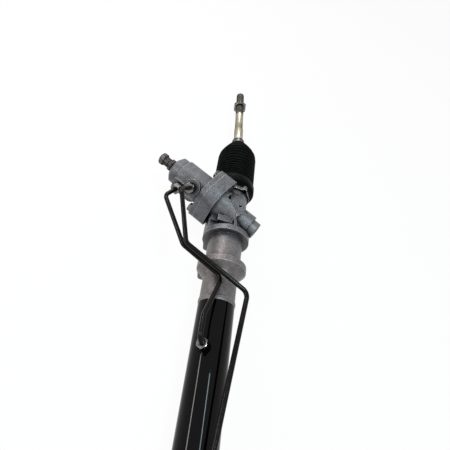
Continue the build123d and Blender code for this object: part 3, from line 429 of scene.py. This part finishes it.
def fold(low, high):
    """(station, radius) over one fold, from its first groove to just before the next."""
    depth = FOLD_DEPTH * min(1.0, (high - low) / FULL_PITCH + NARROW_FOLD_EXTRA)
    points = []
    for sample in range(FOLD_SAMPLES):
        share = sample / FOLD_SAMPLES
        station = low + share * (high - low)
        swell = sin(pi * share) ** FOLD_ROUNDNESS
        points.append((station, crest_radius(station) - depth * (1 - swell)))
    return points


def boot_outline():
    """(station, radius) from the mouth to the end of the neck, over the outside."""
    lip = [(0, LIP_R - 0.8 * MM), (0.4 * MM, LIP_R), (BAND_FROM - 0.2 * MM, LIP_R)]
    band_seat = [(BAND_FROM, BAND_SEAT_R), (BAND_TO, BAND_SEAT_R), (BAND_TO + 0.3 * MM, LIP_R)]
    cuff = [(BAND_TO + 1.2 * MM, LIP_R + 0.6 * MM), (CUFF_FROM - 1.2 * MM, CUFF_R - 1.5 * MM),
            (CUFF_FROM, CUFF_R - 0.3 * MM), (CUFF_FROM + MM, CUFF_R),
            (CUFF_TO - 1.5 * MM, CUFF_R), (CUFF_TO - 0.5 * MM, CUFF_R - 0.5 * MM)]
    edges = fold_edges()
    folds = [point for low, high in zip(edges, edges[1:]) for point in fold(low, high)]
    neck = [(NOSE_TO, NECK_R + 0.9 * MM), (NECK_FLAT_FROM, NECK_R), (NECK_TO - 2 * MM, NECK_R)]
    bead = [(NECK_TO - 1.4 * MM, NECK_R + BEAD), (NECK_TO - 0.4 * MM, NECK_R + BEAD),
            (NECK_TO, NECK_R + 0.4 * MM)]
    return lip + band_seat + cuff + folds + neck + bead


def boot_inside(station, radius):
    """The radius inside: the spigot's at the mouth, the neck's at the nose, and the skin's between."""
    if station < CUFF_FROM - 2 * MM:
        return SPIGOT_R
    if station < NOSE_TO - 3 * MM:
        return max(NECK_BORE_R, radius - SKIN)
    return NECK_BORE_R


def boot_centre(side, station):
    """The middle of the boot at a station, and the way it faces: past the ball it follows the tie rod."""
    out, mouth = OUTWARDS[side], MOUTHS[side]
    ball = Vector(joints[f"ball_{side}_up_down"]["pos_m"])
    rod = Vector(mounts[f"tie_rod_thread_{side}"]["axis"])
    ball_station = abs(ball.x - mouth)
    share = min(1.0, max(0.0, (station - ball_station + LEAN_LENGTH / 2) / LEAN_LENGTH))
    way = (out * (1 - share) + rod * share).normalized()
    if station <= ball_station:
        return Vector((mouth, 0, 0)) + out * station, way
    return ball + rod * (station - ball_station), way


def boot_piece(name, side, outline):
    """One length of the boot's skin, outside and inside, as a closed ring."""
    loop = outline + [(station, boot_inside(station, radius)) for station, radius in reversed(outline)]
    points = []
    for station, radius in loop:
        centre, way = boot_centre(side, station)
        place = placed_on(centre, way)
        for step in range(BOOT_STEPS):
            angle = 2 * pi * step / BOOT_STEPS
            points.append(place @ Vector((radius * cos(angle), radius * sin(angle), 0)))
    faces = grid_faces(len(loop), BOOT_STEPS, close_rows=True)
    return mesh_piece(name, points, faces, finishes["boot_rubber"], sharp=50)


def boot_lengths(side):
    """(name, from, to, inner body, outer body, blend from, blend to) of each length, outwards.

    The blends give a share of the outer body that grows along the boot. Each stretching length has a longer blend
    of its own and uses one part of it, so the growth is nearly even and neighbours agree where they meet. The last
    two lengths lie between the rack, the ball's seat and the tie rod, one for each of the ball's two axes.
    """
    edges = fold_edges()
    slide_to, last_groove = (edges[-5] + edges[-4]) / 2, edges[-3]
    stations = [CUFF_TO] + [edges[groove] for groove, _ in HAND_OVERS] + [slide_to]
    shares = [0.0] + [share for _, share in HAND_OVERS] + [1.0]
    lengths = []
    for number, part in enumerate(STRETCHING_LENGTHS):
        low, high = stations[number], stations[number + 1]
        blend_length = (high - low) / (shares[number + 1] - shares[number])
        start = low - shares[number] * blend_length
        lengths.append((part, low if number else 0, high, "housing", "rack", start, start + blend_length))
    ball_seat, tie_rod = f"ball_seat_{side}", f"tie_rod_{side}"
    lengths.append(("nose", slide_to, last_groove, "rack", ball_seat, slide_to, last_groove))
    lengths.append(("neck", last_groove, NECK_TO, ball_seat, tie_rod, last_groove, NECK_FLAT_FROM))
    return lengths


def make_boot(side):
    """The bellows in lengths that meet in the folds."""
    outline = boot_outline()
    for part, low, high, body_a, body_b, start, end in boot_lengths(side):
        stretch = [point for point in outline if low - NEARLY <= point[0] <= high + NEARLY]
        piece = boot_piece(f"boot_{side}_{part}", side, stretch)
        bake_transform(piece)
        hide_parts(f"boot_{side}")


for side in SIDES:
    make_boot(side)


# ---------------------------------------------------------------- fillet behind the far flange
FLANGE_FACE, FILLET_END = 29.5 * MM, 41 * MM
FLANGE_RIM_R, FILLET_END_R = 34.3 * MM, 25.1 * MM
CONE_R = 30.8 * MM              # of the flange's own cone, at its face
FILLET_BEND, FILLET_STEPS = 1.15, 12
SUNK = 0.3 * MM                 # how deep the fillet's inside lies in the casting


def make_flange_fillet():
    """The casting's sweep from the far flange's rim down to the neck, laid over the flange's cone."""
    outside = []
    for step in range(FILLET_STEPS + 1):
        share = step / FILLET_STEPS
        radius = FILLET_END_R + (FLANGE_RIM_R - FILLET_END_R) * (1 - share) ** FILLET_BEND
        outside.append((radius, FLANGE_FACE + (FILLET_END - FLANGE_FACE) * share))
    inside = [(FILLET_END_R - SUNK, FILLET_END), (CONE_R - SUNK, FLANGE_FACE - SUNK),
              (FLANGE_RIM_R - MM, FLANGE_FACE - SUNK)]
    place = placed_on((0, 0, 0), RACK_AXIS)
    piece = lathe("far_flange_fillet", place, outside + inside, finishes["cast_aluminium"])
    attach(piece, "housing")


make_flange_fillet()


# ---------------------------------------------------------------- tie rods
# Heights are measured along the rod from the middle of its ball.
BALL_R, BALL_STEPS = 12.5 * MM, 20
STEM_R, STEM_END = 6 * MM, 19.5 * MM
SHANK_R, SHANK_START, SHANK_END = 8.5 * MM, 25.5 * MM, 81 * MM
WAIST_R, WAIST_END = 7.8 * MM, 131 * MM
THREAD_R, THREAD_START, ROD_END = 8 * MM, 132 * MM, 204 * MM
THREAD_PITCH, THREAD_DEPTH = 1.5 * MM, 0.92 * MM
THREAD_ROWS = 8                 # points along one turn of the thread
THREAD_RUN_IN = 3 * MM
THREAD_RUN_OUT = 1.2 * MM       # plain length at the rod's end
FLANK_SLOPE, ROOT_FLAT = 2.4, 0.1
ROD_STEPS = 64


def ball_profile():
    """(radius, height) over the ball, up to where it meets the stem."""
    join = sqrt(BALL_R ** 2 - STEM_R ** 2)
    shares = [(1 - cos(pi * step / BALL_STEPS)) / 2 for step in range(BALL_STEPS + 1)]
    heights = [-BALL_R + (join + BALL_R) * share for share in shares]
    return [(sqrt(max(0.0, BALL_R ** 2 - height ** 2)), height) for height in heights]


def thread_ripple(angle, _radius, height):
    """How far the thread's flank lies below its crest; the thread runs in and out at its ends."""
    reach = min(height - THREAD_START, ROD_END - THREAD_RUN_OUT - height)
    if reach <= 0:
        return 0.0
    turn = (height / THREAD_PITCH - angle / (2 * pi)) % 1.0
    flank = min(1.0, max(0.0, FLANK_SLOPE * abs(turn - 0.5) - ROOT_FLAT))
    return -THREAD_DEPTH * (1 - flank) * min(1.0, reach / THREAD_RUN_IN)


def shank_profile():
    """(radius, height) over the ball, the stem, the yellow shank and the waist."""
    stem = [(STEM_R, STEM_END), (SHANK_R - 0.5 * MM, SHANK_START - 0.5 * MM)]
    shank = [(SHANK_R, SHANK_START + MM), (SHANK_R, SHANK_END)]
    waist = [(WAIST_R, SHANK_END + 1.5 * MM), (WAIST_R, WAIST_END), (AXIS_R, WAIST_END)]
    return ball_profile() + stem + shank + waist


def thread_profile():
    """(radius, height) over the thread's crests, from the waist to the rod's chamfered end."""
    rows = round((ROD_END - THREAD_START) / THREAD_PITCH * THREAD_ROWS)
    crests_end = ROD_END - 1.5 * MM
    heights = [THREAD_START + (crests_end - THREAD_START) * row / rows for row in range(rows + 1)]
    crests = [(THREAD_R, height) for height in heights]
    foot = [(AXIS_R, WAIST_END), (WAIST_R - 0.1 * MM, WAIST_END)]
    tip = [(THREAD_R - 1.4 * MM, ROD_END - 0.2 * MM), (THREAD_R - 2 * MM, ROD_END), (AXIS_R, ROD_END)]
    return foot + crests + tip


def make_tie_rod(side):
    """The ball, stem and yellow shank as one piece, and the thread as another; they meet in a plane."""
    place = placed_on(joints[f"ball_{side}_up_down"]["pos_m"], mounts[f"tie_rod_thread_{side}"]["axis"])
    shank = lathe(f"tie_rod_{side}_shank", place, shank_profile(), shank_finish, ROD_STEPS)
    thread = lathe(f"tie_rod_{side}_thread", place, thread_profile(), thread_finish, ROD_STEPS,
                   sharp=30, ripple=thread_ripple)
    for piece in (shank, thread):
        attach(piece, f"tie_rod_{side}")
        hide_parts(f"tie_rod_{side}")


# ---------------------------------------------------------------- boot clamps
# Angles are in radians, round the band from the middle of its ear.
BAND_T, BAND_GAP, BAND_STEPS = 1.1 * MM, 0.05 * MM, 240
EAR_HALF_WIDTH, EAR_RISE = 0.16, 4.6 * MM
TAIL_FROM, TAIL_TO, TAIL_STEPS = 0.28, 1.25, 28
TAIL_INSET = 0.5 * MM           # the tail is narrower than the band by this much on each side
TAIL_T, TAIL_END_T = BAND_T * 0.9, BAND_T * 0.35
CLAMP_TURN = radians(-62)       # where the ear stands round the rack


def ear_rise(angle, _radius, _height):
    """The crimped ear: a loop of the band that stands up steeply and is flat on top."""
    across = abs((angle + pi) % (2 * pi) - pi) / EAR_HALF_WIDTH
    return EAR_RISE * exp(-across ** 4)


def band_tail(name, place, radius, width):
    """The band's outer end: an arc of strip over the band, pressed down at both ends."""
    near, far = TAIL_INSET, width - TAIL_INSET
    points = []
    for step in range(TAIL_STEPS + 1):
        angle = TAIL_FROM + (TAIL_TO - TAIL_FROM) * step / TAIL_STEPS
        top = radius + (TAIL_T if 0 < step < TAIL_STEPS else TAIL_END_T)
        for reach, height in ((radius, near), (top, near), (top, far), (radius, far)):
            points.append(place @ Vector((reach * cos(angle), reach * sin(angle), height)))
    end_caps = [(3, 2, 1, 0), tuple(4 * TAIL_STEPS + corner for corner in range(4))]
    faces = grid_faces(TAIL_STEPS + 1, 4) + end_caps
    return mesh_piece(name, points, faces, finishes["zinc_steel"], sharp=30)


def make_clamp(side):
    """A steel band with a crimped ear, whose outer end lies over the band beyond the ear."""
    low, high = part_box(f"boot_clamp_{side}")
    width = high.x - low.x
    edge = Vector((high.x if side == "left" else low.x, 0, 0))
    place = placed_on(edge, OUTWARDS[side], (0, 1, 0)) @ Matrix.Rotation(CLAMP_TURN, 4, "Z")
    inner = BAND_SEAT_R + BAND_GAP
    outer = inner + BAND_T
    profile = [(inner, 0), (outer, 0), (outer, width), (inner, width)]
    band = lathe(f"boot_clamp_{side}_band", place, profile, finishes["zinc_steel"], BAND_STEPS,
                 sharp=30, ripple=ear_rise)
    tail = band_tail(f"boot_clamp_{side}_tail", place, outer, width)
    for piece in (band, tail):
        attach(piece, "housing")
        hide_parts(f"boot_clamp_{side}")


for side in SIDES:
    make_tie_rod(side)
    make_clamp(side)


# ---------------------------------------------------------------- input shaft's serrations
TEETH, TOOTH_DEPTH, TOOTH_STEPS = 36, 0.4 * MM, 4
SLEEVE_T, SLEEVE_RIM, SLEEVE_BEVEL = 0.6 * MM, 0.35 * MM, 0.4 * MM


def make_serrations():
    """A toothed sleeve over the shaft's end, where the steering column's joint is clamped."""
    mount = mounts["input_shaft_end"]
    end, radius = mount["dims"]["length_mm"] * MM / 2, mount["dims"]["r_mm"] * MM
    inside, rim = radius - SLEEVE_T, radius - SLEEVE_RIM
    outline = [(inside, -end), (rim, -end), (radius, SLEEVE_BEVEL - end),
               (radius, end - SLEEVE_BEVEL), (rim, end), (inside, end)]

    def tooth(angle, reach, _height):
        """A saw round the sleeve's outside, and nothing inside it."""
        return TOOTH_DEPTH * abs(2 * (angle * TEETH / (2 * pi) % 1.0) - 1) if reach > inside else 0.0

    place = placed_on(mount["pos_m"], mount["axis"])
    piece = lathe("input_shaft_serrations", place, outline, serration_finish, TEETH * TOOTH_STEPS,
                  sharp=20, ripple=tooth)
    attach(piece, "input_shaft")


make_serrations()


# ---------------------------------------------------------------- camera, lamps and stage
CAMERA_AT = Vector((258.0, -90.6, 392.3)) * MM
CAMERA_RIGHT = Vector((-0.1163, 0.9467, 0.3004))
CAMERA_UP = Vector((-0.7828, -0.2735, 0.559))
CAMERA_BACK = Vector((0.6113, -0.1702, 0.7729))
LENS_MM, SENSOR_MM = 26.4, 36.0
NEAR_CLIP, FAR_CLIP = 10 * MM, 20
LAMPS_FACE = Vector((0, 0, 0))
AMBIENT, AMBIENT_COLOUR = 0.2, (0.93, 0.96, 1.0, 1)
FLOOR_HALF = 3.0                # metres from the floor's middle to its sides
FLOOR_WHITE = 0.95              # the rest of what the camera sees of the floor is its own lit surface
# (name, place, size along and across the rack, power, colour)
LAMPS = (
    ("strip_softbox", (0.2, 0.06, 1.2), (0.66, 0.15), 8.5, (0.72, 0.92, 1.0)),
    ("key_softbox", (-0.73, -0.6, 0.98), (0.28, 0.28), 5, (1.0, 0.97, 0.95)),
    ("side_softbox", (0.1, -1.05, 0.62), (0.6, 0.1), 5, (1.0, 0.95, 0.95)),
    ("low_softbox", (-1.4, -0.2, 0.65), (0.4, 0.5), 3, (1.0, 0.98, 0.94)),
)


def place_camera():
    """The camera stands above the cylinder tube and looks down towards the pinion and the left boot."""
    camera = bpy.data.objects.new("camera", bpy.data.cameras.new("camera"))
    camera.data.lens, camera.data.sensor_width = LENS_MM, SENSOR_MM
    camera.data.clip_start, camera.data.clip_end = NEAR_CLIP, FAR_CLIP
    turn = Matrix((CAMERA_RIGHT, CAMERA_UP, CAMERA_BACK)).transposed()
    camera.matrix_world = Matrix.Translation(CAMERA_AT) @ turn.to_4x4()
    bpy.context.scene.collection.objects.link(camera)
    bpy.context.scene.camera = camera


def soft_lamp(name, at, size, power, colour):
    """An area lamp that faces the rack; its first size lies along the rack as nearly as it can."""
    data = bpy.data.lights.new(name, "AREA")
    data.shape, data.size, data.size_y = "RECTANGLE", size[0], size[1]
    data.energy, data.color = power, colour
    lamp = bpy.data.objects.new(name, data)
    lamp.matrix_world = placed_on(at, Vector(at) - LAMPS_FACE, RACK_AXIS)
    bpy.context.scene.collection.objects.link(lamp)


def seen_directly(tree):
    """1 for rays from the camera, off gloss and through glass, and 0 for the rays that light the rack."""
    rays = tree.nodes.new("ShaderNodeLightPath").outputs
    seen = rays["Is Camera Ray"]
    for kind in ("Is Glossy Ray", "Is Transmission Ray"):
        either = tree.nodes.new("ShaderNodeMath")
        either.operation = "MAXIMUM"
        tree.links.new(seen, either.inputs[0])
        tree.links.new(rays[kind], either.inputs[1])
        seen = either.outputs[0]
    return seen


def mix_shaders(tree, share, first, second, surface):
    """Feeds the surface with the second shader over the first, by the share."""
    mix = tree.nodes.new("ShaderNodeMixShader")
    for place, source in enumerate((share, first.outputs[0], second.outputs[0])):
        tree.links.new(source, mix.inputs[place])
    tree.links.new(mix.outputs[0], surface)


def make_world():
    """Faint ambient light on the rack, and plain white where the world itself is seen."""
    world = bpy.data.worlds.new("studio")
    world.use_nodes = True
    tree = world.node_tree
    tree.nodes.clear()
    ambient, white = tree.nodes.new("ShaderNodeBackground"), tree.nodes.new("ShaderNodeBackground")
    ambient.inputs["Color"].default_value = AMBIENT_COLOUR
    ambient.inputs["Strength"].default_value = AMBIENT
    white.inputs["Color"].default_value = (1, 1, 1, 1)
    white.inputs["Strength"].default_value = 1.0
    output = tree.nodes.new("ShaderNodeOutputWorld")
    mix_shaders(tree, seen_directly(tree), ambient, white, output.inputs["Surface"])
    bpy.context.scene.world = world


def floor_paper():
    """Matt paper that looks nearly white to the camera and keeps a trace of the shadow."""
    made = Shader("pale_floor", roughness=0.9)
    made.shader.inputs["Base Color"].default_value = grey(0.9)
    glow = made.node("ShaderNodeEmission")
    links = {0: seen_directly(made.tree), 1: FLOOR_WHITE}
    share = made.node("ShaderNodeMath", links, operation="MULTIPLY")
    surface = made.tree.nodes["Material Output"].inputs["Surface"]
    mix_shaders(made.tree, share.outputs[0], made.shader, glow, surface)
    return made.material


def make_floor():
    """A wide floor under the middle of the rack, at its lowest point."""
    low, high = cad_box
    middle = (low + high) / 2
    corners = [(middle.x + x * FLOOR_HALF, middle.y + y * FLOOR_HALF, low.z)
               for x, y in ((-1, -1), (1, -1), (1, 1), (-1, 1))]
    floor = mesh_piece("pale_floor", corners, [(0, 1, 2, 3)], floor_paper())


place_camera()
make_world()
make_floor()
for lamp in LAMPS:
    soft_lamp(*lamp)
bpy.context.scene.view_settings.view_transform = "Standard"
